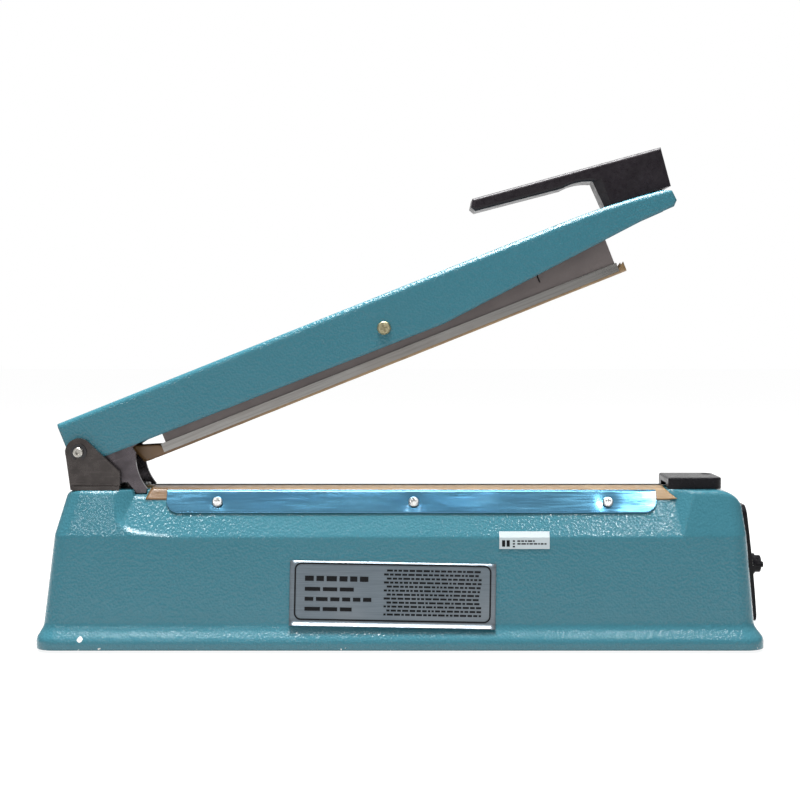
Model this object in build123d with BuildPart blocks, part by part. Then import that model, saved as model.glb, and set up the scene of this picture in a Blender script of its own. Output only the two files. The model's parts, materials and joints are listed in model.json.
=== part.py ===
from build123d import *
import os
from math import cos, radians, sin

# Impulse heat sealer for bags up to 300 mm wide. Millimetres, +Z up.
# The origin is on the resting plane, under the middle of the base casting. +X runs along the base
# from the hinge to the control panel, and the operator faces the -Y side. The arm stands open.

os.makedirs("parts", exist_ok=True)

# ---------------------------------------------------------------- driving dimensions

# Base casting: (height, left end, right end, half width, corner radius) of the levels that its
# walls run through, from the flared foot to the top.
foot_level = (2, -225, 225, 42.5, 13)
flare_level = (8, -225, 225, 42.5, 13)
neck_level = (15, -221, 219.6, 37.3, 10)
crease_level = (71, -214.4, 215, 33.8, 10)
top_level = (98.5, -206.8, 211.8, 27, 10)
casting_levels = [foot_level, flare_level, neck_level, crease_level, top_level]

# The hollow inside it: a shallow step for the bottom plate, then the room for the works.
plate_step_levels = [(1, -221.2, 221.2, 38.8, 9.5), (5.5, -221.2, 221.2, 38.8, 9.5)]
hollow_levels = [(5.5, -217.5, 216.9, 34, 7), (71, -212, 212.4, 30.4, 7), (95.3, -202, 198, 15.2, 6)]

top_z = top_level[0]
wall_lean = (neck_level[3] - crease_level[3]) / (crease_level[0] - neck_level[0])
platform_half_width = 18
recess_line_z = 70.4
# Where the recess's end facets meet the wall, in side view: a soft curve on the left, a line on the right.
recess_left_ridge = [(-181.5, 101), (-178, 91), (-170.4, 78.2), (-153, 72.4), (-120, 66)]
recess_right_ridge = [(165.9, 66), (188, 101)]
ridge_half_width = 30
recess_end_splay = 1.4
boss_radius = 5.5
plate_bottom = 4
plate_top = 5.5
plate_screw_places = [(x, y) for x in (-190, 190) for y in (-30, 30)]
foot_places = [(x, y) for x in (-200, 200) for y in (-16, 16)]
foot_radius = 8

# Arm: it is drawn closed, with its pivot as origin, and then placed opened.
pivot_x = -199.4
pivot_z = 122.1
open_angle = 21.7
arm_half_width = 20
arm_sheet = 1.5
arm_top = 21.3
pin_radius = 3
bush_radius = 4.5
running_gap = 0.05

# Jaws.
cloth = 0.3
insulator_thickness = 0.8
element_thickness = 0.3
jaw_left = -157
jaw_right = 166
clamp_left = -145.1
clamp_right = 159.3
clamp_screw_places = (-113.4, 8.5, 129.1)
bar_left = 46.6
bar_right = 355
bar_top = -14.2
bar_bottom = -19.8
bar_half_width = 8
carrier_left = 49.6
carrier_right = 354
carrier_half_width = 7
carrier_pivot = (204.5, 1.5)

# Hinge end. Places with no pivot in their name are measured from the hinge pivot.
ear_inside = 20.3
ear_sheet = 3
ear_radius = 8.5
floor_z = top_z - pivot_z
floor_sheet = 2.5
lever_inside = 16
lever_outside = 18.5
slot_left = -189.4
slot_right = -157.8
slot_inside = 15.3
slot_outside = 19.6
wire_radius = 1.5
coil_radius = 7.5
coil_turns = 5.81

# Right-hand end.
cover_left = 167.8
cover_right = 202
cover_height = 7.2
knob_place = (-6, 50)
lamp_place = (10, 53)
panel_half_width = 18
panel_sheet = 3.2
panel_screw_z = 19

# Works inside the base.
transformer_x = -70
core_size = (66, 40, 56)
leg_width = 22
board_left = 60
board_right = 150
board_half_width = 24
board_z = 14
board_sheet = 1.6
cord_inlet = (-171, 32)
grommet_radius = 6
cord_radius = 3.5
switch_x = -171.5
switch_top = 80.6

# Screw sizes: (head radius, head height, shank radius).
m3 = (2.8, 1.8, 1.5)
m4 = (3.3, 2.2, 1.9)
m5 = (4.2, 2.4, 2.4)

pieces = {}

# ---------------------------------------------------------------- planes and shared shapes


def on_arm(x, z, y=0):
    """Where a point of the closed arm is with the arm open."""
    turn = radians(open_angle)
    return (pivot_x + x * cos(turn) - z * sin(turn), y, pivot_z + x * sin(turn) + z * cos(turn))


def arm_side(y=0):
    """The plane of the arm's side view at y: sketch x runs along the arm and sketch y up from it."""
    turn = radians(open_angle)
    return Plane(on_arm(0, 0, y), x_dir=(cos(turn), 0, sin(turn)), z_dir=(0, -1, 0))


def arm_section(x):
    """The plane across the arm at x, facing its front end: sketch x is Y and sketch y is up."""
    turn = radians(open_angle)
    return Plane(on_arm(x, 0), x_dir=(0, 1, 0), z_dir=(cos(turn), 0, sin(turn)))


def arm_level(x, z, facing=1):
    """The plane along the arm at height z of the closed arm, facing up from it or down."""
    turn = radians(open_angle)
    up = (-facing * sin(turn), 0, facing * cos(turn))
    return Plane(on_arm(x, z), x_dir=(cos(turn), 0, sin(turn)), z_dir=up)


def side_view(y=0, x=0, z=0):
    """The plane of the base's side view at y, facing the operator, with its origin at x and z."""
    return Plane((x, y, z), x_dir=(1, 0, 0), z_dir=(0, -1, 0))


def hinge_view(y=0):
    """The side view at y, with the hinge pivot as origin."""
    return side_view(y, pivot_x, pivot_z)


def facing_right(x, y=0, z=0):
    """A plane facing the right-hand end: sketch x is Y and sketch y is Z."""
    return Plane((x, y, z), x_dir=(0, 1, 0), z_dir=(1, 0, 0))


def facing_down(x, y, z):
    return Plane((x, y, z), x_dir=(1, 0, 0), z_dir=(0, 0, -1))


def facing_up(x, y, z):
    return Plane((x, y, z), x_dir=(1, 0, 0), z_dir=(0, 0, 1))


def slope_plane(side, x=0, lift=0):
    """The sloped face of the recess, facing out; side is -1 in front and 1 behind. Its origin is on
    the platform's edge and sketch y runs up the slope."""
    low_y = crease_level[3] + (crease_level[0] - recess_line_z) * wall_lean
    run = Vector(0, side * (platform_half_width - low_y), top_z - recess_line_z).normalized()
    across = Vector(-side, 0, 0)
    out = across.cross(run)
    edge = Vector(x, side * platform_half_width, top_z)
    return Plane(edge + out * lift, x_dir=across, z_dir=out)


def wall_plane(lift=0):
    """The front wall below the crease, facing the operator; sketch y runs up it from the neck."""
    run = Vector(0, neck_level[3] - crease_level[3], crease_level[0] - neck_level[0]).normalized()
    out = Vector(1, 0, 0).cross(run)
    return Plane(Vector(0, -neck_level[3], neck_level[0]) + out * lift, x_dir=(1, 0, 0), z_dir=out)


def edges_at(z):
    """The edges at one height of the part being made."""
    return edges().filter_by(lambda edge: all(abs(end.Z - z) < 0.01 for end in edge.vertices()))


def disc(place, radius, height, mode=Mode.ADD, bore=0):
    """Adds a round bar or a tube standing on a plane to the part being made."""
    with BuildSketch(place) as outline:
        Circle(radius)
        if bore:
            Circle(bore, mode=Mode.SUBTRACT)
    extrude(outline.sketch, amount=height, mode=mode)


def slab(low, high, mode=Mode.ADD, corner=0):
    """Adds an upright block between two corners, with rounded upright edges if asked."""
    width, depth, height = (high[i] - low[i] for i in range(3))
    with BuildSketch(facing_up((low[0] + high[0]) / 2, (low[1] + high[1]) / 2, low[2])) as outline:
        if corner:
            RectangleRounded(width, depth, corner)
        else:
            Rectangle(width, depth)
    extrude(outline.sketch, amount=height, mode=mode)


def pan_screw(place, size, length):
    """Adds a cross-headed pan screw; place is the plane under its head, facing out of the work."""
    head_radius, head_height, shank_radius = size
    disc(place, shank_radius, -length)
    with BuildSketch(place) as head:
        Circle(head_radius)
    extrude(head.sketch, amount=head_height * 0.55)
    with BuildSketch(place.offset(head_height * 0.55)) as crown:
        Circle(head_radius)
    extrude(crown.sketch, amount=head_height * 0.45, taper=35)
    with BuildSketch(place.offset(head_height)) as drive:
        Rectangle(head_radius * 1.1, head_radius * 0.22)
        Rectangle(head_radius * 0.22, head_radius * 1.1)
    extrude(drive.sketch, amount=-head_height * 0.6, mode=Mode.SUBTRACT)


def screw_holes(planes, size, depth):
    """Cuts the holes that screws under these planes go into."""
    for place in planes:
        disc(place, size[2] + running_gap, -depth, mode=Mode.SUBTRACT)


def level_section(level):
    """The rounded rectangle of the casting's walls at one level."""
    z, left, right, half_width, corner = level
    with BuildSketch(Plane.XY.offset(z)) as section:
        with Locations(((left + right) / 2, 0)):
            RectangleRounded(right - left, 2 * half_width, corner)
    return section.sketch.faces()[0]


def walls_between(levels, mode=Mode.ADD):
    """Adds the straight walls through a list of levels to the part being made."""
    sections = [level_section(level) for level in levels]
    for lower, upper in zip(sections, sections[1:]):
        loft(sections=[lower, upper], ruled=True, mode=mode)


# ---------------------------------------------------------------- where the screws go

clamp_screw_drop = 9.3
clamp_lift = cloth + 0.2
clamp_sheet = 0.8
clamp_screw_planes = [
    Plane(
        slope_plane(side, x, clamp_lift + clamp_sheet).from_local_coords(Vector(0, -clamp_screw_drop, 0)),
        x_dir=slope_plane(side).x_dir,
        z_dir=slope_plane(side).z_dir,
    )
    for side in (-1, 1)
    for x in clamp_screw_places
]
bracket_floor = top_z + floor_sheet
bracket_screw_planes = [facing_up(x, y, bracket_floor) for x, y in ((-196.5, -13), (-196.5, 13), (-174, 0))]
terminal_z = top_z + insulator_thickness + element_thickness
rear_terminal_x = -161.5
front_terminal_x = 180
terminal_screw_planes = [facing_up(x, 0, terminal_z) for x in (rear_terminal_x, front_terminal_x)]
cover_screw_place = (196.5, 8)
cover_screw_plane = facing_up(*cover_screw_place, top_z + cover_height - 3.4)
plate_screw_planes = [facing_down(x, y, plate_bottom) for x, y in plate_screw_places]
transformer_screw_planes = [facing_up(transformer_x + x, 0, plate_top + 1.5) for x in (-41, 41)]
board_screw_places = [(x, y) for x in (board_left + 5, board_right - 5) for y in (-19, 19)]
board_screw_planes = [facing_up(x, y, board_z + board_sheet) for x, y in board_screw_places]
switch_bracket_screw_planes = [facing_up(x, -3, plate_top + 1.5) for x in (-181, -163)]
panel_screw_plane = facing_right(223.5, 0, panel_screw_z)

# ---------------------------------------------------------------- base casting

with BuildPart() as base_housing:
    walls_between(casting_levels)
    fillet(edges_at(flare_level[0]), radius=6)
    fillet(edges_at(neck_level[0]), radius=8)
    # The ends in side view, with a small round over the hinge end and a large one over the panel.
    with BuildSketch(side_view()) as ends:
        Polygon(
            (-240, 0),
            (240, 0),
            (240, crease_level[0]),
            (crease_level[2] + 0.5, crease_level[0]),
            (top_level[2], top_z),
            (top_level[1], top_z),
            (crease_level[1] - 0.5, crease_level[0]),
            (-240, crease_level[0]),
            align=None,
        )
        fillet(ends.vertices().group_by(Axis.Y)[-1].sort_by(Axis.X)[0], radius=7)
        fillet(ends.vertices().group_by(Axis.Y)[-1].sort_by(Axis.X)[-1], radius=17)
    extrude(amount=60, both=True, mode=Mode.INTERSECT)
    # The recess on each side, whose ends slope out to the pedestals.
    for side in (-1, 1):
        faces_apart = []
        for y in (platform_half_width - 1, 46):
            spread = recess_end_splay * (y - ridge_half_width)
            with BuildSketch(side_view(side * y), mode=Mode.PRIVATE) as across_recess:
                with BuildLine():
                    left_ridge = [(x - spread, z) for x, z in recess_left_ridge]
                    right_ridge = [(x + spread, z) for x, z in recess_right_ridge]
                    Spline(*left_ridge)
                    Polyline(left_ridge[-1], *right_ridge, left_ridge[0])
                make_face()
            faces_apart.append(across_recess.sketch.faces()[0])
        wedge = loft(sections=faces_apart, ruled=True, mode=Mode.PRIVATE)
        beyond_slope = split(wedge, bisect_by=slope_plane(side), keep=Keep.TOP, mode=Mode.PRIVATE)
        add(beyond_slope, mode=Mode.SUBTRACT)
    pedestal_rims = edges_at(top_z).filter_by(lambda edge: abs(edge.center().Y) > 26)
    fillet(pedestal_rims, radius=3)
    # The hollow inside, open below.
    walls_between(plate_step_levels, mode=Mode.SUBTRACT)
    walls_between(hollow_levels, mode=Mode.SUBTRACT)
    for x, y in plate_screw_places:
        disc(facing_up(x, y, plate_top + 0.5), boss_radius, 22)
    # The slots that the lever plates pass through.
    for side in (-1, 1):
        slot_sides = sorted((side * slot_inside, side * slot_outside))
        slab((slot_left, slot_sides[0], 84), (slot_right, slot_sides[1], 110), mode=Mode.SUBTRACT)
    # The opening for the controls, and the hole for the cord grommet.
    with BuildSketch(facing_right(200, 0, 46)):
        RectangleRounded(34, 36, 4)
    extrude(amount=30, mode=Mode.SUBTRACT)
    disc(side_view(50, *cord_inlet), grommet_radius, 24, mode=Mode.SUBTRACT)
    screw_holes(clamp_screw_planes, m3, 8)
    screw_holes(bracket_screw_planes, m4, 9)
    screw_holes(terminal_screw_planes, m3, 8)
    screw_holes([cover_screw_plane], m3, 12)
    screw_holes(plate_screw_planes, m4, 16)
    screw_holes([panel_screw_plane], m3, 12)
pieces["base_housing"] = base_housing

with BuildPart() as bottom_plate:
    plate_gap = 0.3
    step = plate_step_levels[0]
    with BuildSketch(Plane.XY.offset(plate_bottom)):
        RectangleRounded(2 * (step[2] - plate_gap), 2 * (step[3] - plate_gap), step[4])
    extrude(amount=plate_top - plate_bottom)
    screw_holes(plate_screw_planes, m4, 16)
    screw_holes(transformer_screw_planes, m4, 16)
    screw_holes(switch_bracket_screw_planes, m3, 16)
    for x, y in board_screw_places:
        disc(facing_up(x, y, 0), 1.6, 10, mode=Mode.SUBTRACT)
    for x, y in foot_places:
        disc(facing_up(x, y, 0), 2.6, 10, mode=Mode.SUBTRACT)
pieces["bottom_plate"] = bottom_plate

with BuildPart() as bottom_plate_screws:
    for place in plate_screw_planes:
        pan_screw(place, m4, 12)
pieces["bottom_plate_screws"] = bottom_plate_screws

with BuildPart() as rubber_feet:
    for x, y in foot_places:
        disc(facing_up(x, y, 0), foot_radius, plate_bottom)
    chamfer(edges_at(0), length=1)
    for x, y in foot_places:
        disc(facing_up(x, y, plate_bottom), 2.5, plate_top - plate_bottom)
        disc(facing_up(x, y, plate_top), 4, 1.5)
pieces["rubber_feet"] = rubber_feet

# ---------------------------------------------------------------- hinge end

stop_z = 1.2
ear_front = 25.3

with BuildPart() as hinge_bracket:
    with BuildSketch(hinge_view(), mode=Mode.PRIVATE) as ear:
        Polygon(
            (-8.6, stop_z),
            (-5.4, floor_z),
            (ear_front, floor_z),
            (ear_front, -12.6),
            (6.1, 5.9),
            (0, 5),
            align=None,
        )
        Circle(ear_radius)
        fillet(ear.vertices().sort_by_distance((ear_front, -12.6))[0], radius=2)
    extrude(ear.sketch, amount=-(ear_inside + ear_sheet))
    extrude(ear.sketch, amount=ear_inside + ear_sheet)
    with BuildSketch(hinge_view(ear_inside)):
        Rectangle(90, 90)
    extrude(amount=2 * ear_inside, mode=Mode.SUBTRACT)
    # The feet that the ears turn out into, and the floor between them with its tongue.
    for side in (-1, 1):
        foot_sides = sorted((side * ear_inside, side * (ear_inside + ear_sheet + 2.2)))
        slab((pivot_x - 4, foot_sides[0], top_z), (pivot_x + ear_front, foot_sides[1], bracket_floor))
    slab((pivot_x - 5.6, -ear_inside, top_z), (pivot_x + 8, ear_inside, bracket_floor))
    slab((pivot_x + 4, -13, top_z), (pivot_x + 12, 13, bracket_floor))
    slab((pivot_x + 8, -8, top_z), (-168.5, 8, bracket_floor), corner=3)
    # The rear wall: two posts that the arm's rear corners stop on, and a low sill between them.
    with BuildSketch(hinge_view(ear_inside), mode=Mode.PRIVATE) as rear_wall:
        Polygon((-8.6, stop_z), (-5.4, floor_z), (-3, floor_z), (-6.2, stop_z), align=None)
    extrude(rear_wall.sketch, amount=2 * ear_inside)
    with BuildSketch(hinge_view(14), mode=Mode.PRIVATE) as sill:
        Polygon((-14, 6), (-14, -13), (2, -13), (2, 6), align=None)
    extrude(sill.sketch, amount=28, mode=Mode.SUBTRACT)
    disc(hinge_view(40), pin_radius + running_gap, 80, mode=Mode.SUBTRACT)
    screw_holes(bracket_screw_planes, m4, 9)
pieces["hinge_bracket"] = hinge_bracket

with BuildPart() as bracket_screws:
    for place in bracket_screw_planes:
        pan_screw(place, m4, 8)
pieces["bracket_screws"] = bracket_screws

pin_end = 26.8
groove_near = 23.45
groove_width = 0.9

with BuildPart() as hinge_pin:
    disc(hinge_view(pin_end), pin_radius, 2 * pin_end)
    chamfer(edges().filter_by(GeomType.CIRCLE), length=0.4)
    for near in (-groove_near, groove_near + groove_width):
        with BuildSketch(hinge_view(near), mode=Mode.PRIVATE) as groove:
            Circle(pin_radius + 1)
            Circle(pin_radius - 0.5, mode=Mode.SUBTRACT)
        extrude(groove.sketch, amount=groove_width, mode=Mode.SUBTRACT)
    disc(hinge_view(pin_end), 1.5, 2, mode=Mode.SUBTRACT)
    disc(hinge_view(-pin_end + 2), 1.5, 2, mode=Mode.SUBTRACT)
pieces["hinge_pin"] = hinge_pin

with BuildPart() as pin_clips:
    for near in (-groove_near - 0.05, groove_near + groove_width - 0.05):
        with BuildSketch(hinge_view(near), mode=Mode.PRIVATE) as clip:
            Circle(5)
            Circle(pin_radius - 0.45, mode=Mode.SUBTRACT)
            with Locations((0, -4)):
                Rectangle(4, 6, mode=Mode.SUBTRACT)
        extrude(clip.sketch, amount=groove_width - 0.1)
pieces["pin_clips"] = pin_clips

with BuildPart() as spring_sleeve:
    disc(hinge_view(15.2), 5, 30.4, bore=pin_radius + running_gap)
pieces["spring_sleeve"] = spring_sleeve

# The coil stands round the hinge pin. One leg runs down to the floor, the other along the arm.
coil_pitch = 2 * wire_radius + 0.35
coil_length = coil_pitch * coil_turns

coil = Helix(coil_pitch, coil_length, coil_radius, (pivot_x, coil_length / 2, pivot_z), (0, -1, 0))
coil = coil.rotate(Axis((pivot_x, 0, pivot_z), (0, -1, 0)), 90)

with BuildPart() as return_spring:
    with BuildSketch(Plane(coil @ 0, z_dir=coil % 0), mode=Mode.PRIVATE) as first_end:
        Circle(wire_radius)
    with BuildSketch(Plane(coil @ 1, z_dir=coil % 1), mode=Mode.PRIVATE) as last_end:
        Circle(wire_radius)
    sweep(first_end.sketch, path=coil)
    extrude(first_end.sketch, amount=-20.9)
    extrude(last_end.sketch, amount=26)
pieces["return_spring"] = return_spring

# ---------------------------------------------------------------- lower jaw

with BuildPart() as insulator_strip:
    slab((jaw_left, -7, top_z), (jaw_right, 7, top_z + insulator_thickness))
pieces["insulator_strip"] = insulator_strip

with BuildPart() as heating_element:
    ribbon_z = top_z + insulator_thickness
    slab((rear_terminal_x, -1.5, ribbon_z), (front_terminal_x, 1.5, terminal_z))
    for place in terminal_screw_planes:
        disc(place, 3.4, -element_thickness)
    screw_holes(terminal_screw_planes, m3, 8)
pieces["heating_element"] = heating_element

for name, x, reach in (("rear_terminal", rear_terminal_x, 4), ("front_terminal", front_terminal_x, 7)):
    with BuildPart() as terminal:
        slab((x - 4, -4, top_z), (x + reach, 4, top_z + insulator_thickness), corner=1)
        screw_holes(terminal_screw_planes, m3, 8)
    pieces[name] = terminal

with BuildPart() as terminal_screws:
    for place in terminal_screw_planes:
        pan_screw(place, m3, 6)
pieces["terminal_screws"] = terminal_screws


def jaw_profile(points, side):
    """A closed outline across the jaw: each point is Y out from the middle, and Z."""
    return Polygon(*[(side * y, z) for y, z in points], align=None)


def down_slope(drop, lift):
    """A point on the recess's slope: how far down from the platform's edge, and how far off it."""
    point = slope_plane(1, 0, lift).from_local_coords(Vector(0, -drop, 0))
    return (point.Y, point.Z)


cloth_bottom = terminal_z + 0.15
cloth_drop = 6.3

with BuildPart() as lower_cloth:
    under = [(0, cloth_bottom), (7.6, cloth_bottom), down_slope(0, 0.15), down_slope(cloth_drop, 0.1)]
    over = [down_slope(cloth_drop, 0.1 + cloth), down_slope(-0.1, 0.15 + cloth)]
    over += [(7.7, cloth_bottom + cloth), (0, cloth_bottom + cloth)]
    for side in (-1, 1):
        with BuildSketch(facing_right(jaw_left - 0.3)):
            jaw_profile(under + over, side)
    extrude(amount=jaw_right - jaw_left + 0.8)
pieces["lower_cloth"] = lower_cloth

clamp_length = 15.5
clamp_corner = 8

for name, side in (("front_clamp_strip", -1), ("rear_clamp_strip", 1)):
    with BuildPart() as clamp_strip:
        with BuildSketch(facing_right(clamp_left)):
            jaw_profile(
                [
                    down_slope(-0.8, clamp_lift + clamp_sheet),
                    down_slope(clamp_length, clamp_lift + clamp_sheet),
                    down_slope(clamp_length, clamp_lift),
                    down_slope(-0.8, clamp_lift),
                ],
                side,
            )
        extrude(amount=clamp_right - clamp_left)
        low_corners = edges().filter_by(Axis(slope_plane(side).origin, slope_plane(side).z_dir))
        fillet(low_corners.group_by(Axis.Z)[0], radius=clamp_corner)
        screw_holes(clamp_screw_planes, m3, 12)
    pieces[name] = clamp_strip

with BuildPart() as clamp_screws:
    for place in clamp_screw_planes:
        pan_screw(place, (3.2, 2, 1.5), 7)
pieces["clamp_screws"] = clamp_screws

# ---------------------------------------------------------------- terminal cover

cover_top = top_z + cover_height

with BuildPart() as terminal_cover:
    slab((cover_left, -18, top_z), (cover_right, 18, cover_top))
    fillet(edges().filter_by(Axis.Z).group_by(Axis.X)[-1], radius=7)
    fillet(edges().filter_by(Axis.Z).group_by(Axis.X)[0], radius=1.5)
    fillet(edges_at(cover_top), radius=1.4)
    slab((cover_left + 2, -16, top_z), (cover_right - 11, 16, cover_top - 2), mode=Mode.SUBTRACT)
    slab((cover_left - 5, -9, top_z), (cover_left + 5, 9, top_z + 3.4), mode=Mode.SUBTRACT)
    disc(cover_screw_plane, 3.3, 12, mode=Mode.SUBTRACT)
    screw_holes([cover_screw_plane], m3, 12)
pieces["terminal_cover"] = terminal_cover

with BuildPart() as terminal_cover_screw:
    pan_screw(cover_screw_plane, m3, 11)
pieces["terminal_cover_screw"] = terminal_cover_screw

# ---------------------------------------------------------------- control panel

panel_bottom = 14.6
panel_top = 88.3
# The inner face is an arc in side view, which runs on past both ends of the panel.
panel_arc = ((221.2, panel_bottom - 6.6), (218, 48), (212.4, panel_top + 5.7))
panel_face_x = panel_arc[1][0] + panel_sheet

with BuildPart() as control_panel:
    with BuildSketch(side_view(panel_half_width)) as panel_side:
        with BuildLine():
            outer_arc = [(x + panel_sheet, z) for x, z in panel_arc]
            ThreePointArc(*panel_arc)
            Line(panel_arc[-1], outer_arc[-1])
            ThreePointArc(*reversed(outer_arc))
            Line(outer_arc[0], panel_arc[0])
        make_face()
    extrude(amount=2 * panel_half_width)
    with BuildSketch(facing_right(200, 0, (panel_bottom + panel_top) / 2)):
        RectangleRounded(2 * panel_half_width, panel_top - panel_bottom, 6)
    extrude(amount=40, mode=Mode.INTERSECT)
    disc(facing_right(200, *knob_place), bush_radius + running_gap, 40, mode=Mode.SUBTRACT)
    disc(facing_right(200, *lamp_place), 3 + running_gap, 40, mode=Mode.SUBTRACT)
    screw_holes([panel_screw_plane.offset(5)], m3, 20)
    disc(panel_screw_plane, 4, 5, mode=Mode.SUBTRACT)
pieces["control_panel"] = control_panel

with BuildPart() as panel_screw:
    pan_screw(panel_screw_plane, m3, 10)
pieces["panel_screw"] = panel_screw

shaft_tail_x = 207

with BuildPart() as potentiometer:
    disc(facing_right(204, *knob_place), 8, 9)
    disc(facing_right(213, *knob_place), bush_radius, panel_face_x - 213 - 0.4)
    disc(facing_right(shaft_tail_x - 0.5, *knob_place), pin_radius + running_gap, 20, mode=Mode.SUBTRACT)
    for y in (-4, 0, 4):
        slab((205.5, knob_place[0] + y - 1, knob_place[1] - 13), (206.5, knob_place[0] + y + 1, knob_place[1] - 5))
pieces["potentiometer"] = potentiometer

knob_x = panel_face_x + 1
knob_length = 6
grip_length = 1

with BuildPart() as potentiometer_shaft:
    disc(facing_right(shaft_tail_x, *knob_place), pin_radius, knob_x + knob_length - 2 - shaft_tail_x)
pieces["potentiometer_shaft"] = potentiometer_shaft

with BuildPart() as timer_knob:
    disc(facing_right(knob_x, *knob_place), 6.6, 2)
    disc(facing_right(knob_x, *knob_place), 5.4, knob_length)
    fillet(edges().filter_by(GeomType.CIRCLE).group_by(Axis.X)[-1], radius=0.6)
    with BuildSketch(facing_right(knob_x + 2, *knob_place)):
        SlotOverall(11.4, 3.4)
    extrude(amount=knob_length + grip_length - 2)
    with BuildSketch(facing_right(knob_x + 2, *knob_place)):
        with PolarLocations(5.7, 18):
            Circle(0.5)
    extrude(amount=knob_length, mode=Mode.SUBTRACT)
    disc(facing_right(knob_x, *knob_place), pin_radius + running_gap, knob_length - 1.8, mode=Mode.SUBTRACT)
pieces["timer_knob"] = timer_knob

with BuildPart() as indicator_lamp:
    disc(facing_right(209, *lamp_place), 3, panel_face_x - 209 + 2)
    disc(facing_right(panel_face_x + 0.3, *lamp_place), 4, 1)
    disc(facing_right(panel_face_x + 1, *lamp_place), 3, 2.8)
    fillet(edges().filter_by(GeomType.CIRCLE).group_by(Axis.X)[-1], radius=2)
pieces["indicator_lamp"] = indicator_lamp

# ---------------------------------------------------------------- works inside the base

core_length, core_depth, core_height = core_size
yoke = leg_width / 2
coil_depth = 8

with BuildPart() as transformer_core:
    slab(
        (transformer_x - core_length / 2, -core_depth / 2, plate_top),
        (transformer_x + core_length / 2, core_depth / 2, plate_top + core_height),
    )
    for side in (-1, 1):
        with BuildSketch(side_view(core_depth, transformer_x + side * leg_width * 0.75, plate_top + core_height / 2)):
            Rectangle(yoke, core_height - 2 * yoke)
    extrude(amount=2 * core_depth, mode=Mode.SUBTRACT)
pieces["transformer_core"] = transformer_core

with BuildPart() as transformer_winding:
    low_z = plate_top + yoke + 0.2
    high_z = plate_top + core_height - yoke - 0.2
    reach = leg_width - 0.2
    slab(
        (transformer_x - reach, -core_depth / 2 - coil_depth, low_z),
        (transformer_x + reach, core_depth / 2 + coil_depth, high_z),
        corner=6,
    )
    slab(
        (transformer_x - leg_width / 2 - 0.2, -core_depth / 2 - 0.2, low_z),
        (transformer_x + leg_width / 2 + 0.2, core_depth / 2 + 0.2, high_z),
        mode=Mode.SUBTRACT,
    )
pieces["transformer_winding"] = transformer_winding

with BuildPart() as transformer_strap:
    reach = core_length / 2 + 0.1
    top = plate_top + core_height + 0.1
    slab((transformer_x - reach - 1.5, -9, plate_top), (transformer_x + reach + 1.5, 9, top + 1.5))
    slab((transformer_x - reach, -9, plate_top), (transformer_x + reach, 9, top), mode=Mode.SUBTRACT)
    for low_x in (transformer_x - reach - 14, transformer_x + reach + 0.5):
        slab((low_x, -9, plate_top), (low_x + 13.5, 9, plate_top + 1.5))
    screw_holes(transformer_screw_planes, m4, 5)
pieces["transformer_strap"] = transformer_strap

with BuildPart() as transformer_screws:
    for place in transformer_screw_planes:
        pan_screw(place, m4, 3.5)
pieces["transformer_screws"] = transformer_screws

with BuildPart() as timer_board:
    slab((board_left, -board_half_width, board_z), (board_right, board_half_width, board_z + board_sheet))
    screw_holes(board_screw_planes, m3, 8)
pieces["timer_board"] = timer_board

component_base = board_z + board_sheet
with BuildPart() as board_relays:
    for x in (76, 104):
        slab((x - 10, -16, component_base), (x + 10, 0, component_base + 16))
pieces["board_relays"] = board_relays

with BuildPart() as board_capacitors:
    for x, y, radius, height in ((72, 10, 5, 16), (86, 11, 5, 16), (100, 12, 6.5, 22), (128, 8, 4, 12)):
        disc(facing_up(x, y, component_base), radius, height)
pieces["board_capacitors"] = board_capacitors

with BuildPart() as board_standoffs:
    for x, y in board_screw_places:
        disc(facing_up(x, y, plate_top), 3.4, board_z - plate_top, bore=m3[2] + running_gap)
pieces["board_standoffs"] = board_standoffs

with BuildPart() as board_screws:
    for place in board_screw_planes:
        pan_screw(place, m3, 11)
pieces["board_screws"] = board_screws

switch_y = -17.2
switch_screw_planes = [side_view(switch_y - 5, x, switch_top - 12) for x in (switch_x - 8, switch_x + 9)]

with BuildPart() as switch_bracket:
    slab((switch_x - 15, switch_y + 5.1, plate_top), (switch_x + 15, switch_y + 6.6, switch_top - 1))
    slab((switch_x - 15, switch_y + 5.1, plate_top), (switch_x + 15, 4, plate_top + 1.5))
    screw_holes(switch_screw_planes, m3, 14)
    screw_holes(switch_bracket_screw_planes, m3, 5)
pieces["switch_bracket"] = switch_bracket

with BuildPart() as switch_bracket_screws:
    for place in switch_bracket_screw_planes:
        pan_screw(place, m3, 3.5)
pieces["switch_bracket_screws"] = switch_bracket_screws

plunger_radius = 1.7
plunger_travel = 1.2

with BuildPart() as microswitch:
    slab((switch_x - 13, switch_y - 5, switch_top - 16), (switch_x + 14, switch_y + 5, switch_top))
    for x in (switch_x - 9, switch_x, switch_x + 9):
        slab((x - 1.6, switch_y - 3, switch_top - 22), (x + 1.6, switch_y - 2.4, switch_top - 15.9))
    disc(facing_up(switch_x, switch_y, switch_top - 6), plunger_radius + 0.1, 10, mode=Mode.SUBTRACT)
    screw_holes(switch_screw_planes, m3, 14)
pieces["microswitch"] = microswitch

with BuildPart() as microswitch_plunger:
    disc(facing_up(switch_x, switch_y, switch_top - 6 + plunger_travel + 0.3), plunger_radius, 6.5)
    fillet(edges().filter_by(GeomType.CIRCLE).group_by(Axis.Z)[-1], radius=0.8)
pieces["microswitch_plunger"] = microswitch_plunger

with BuildPart() as microswitch_screws:
    for place in switch_screw_planes:
        pan_screw(place, (2.6, 1.6, 1.5), 12.5)
pieces["microswitch_screws"] = microswitch_screws

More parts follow.
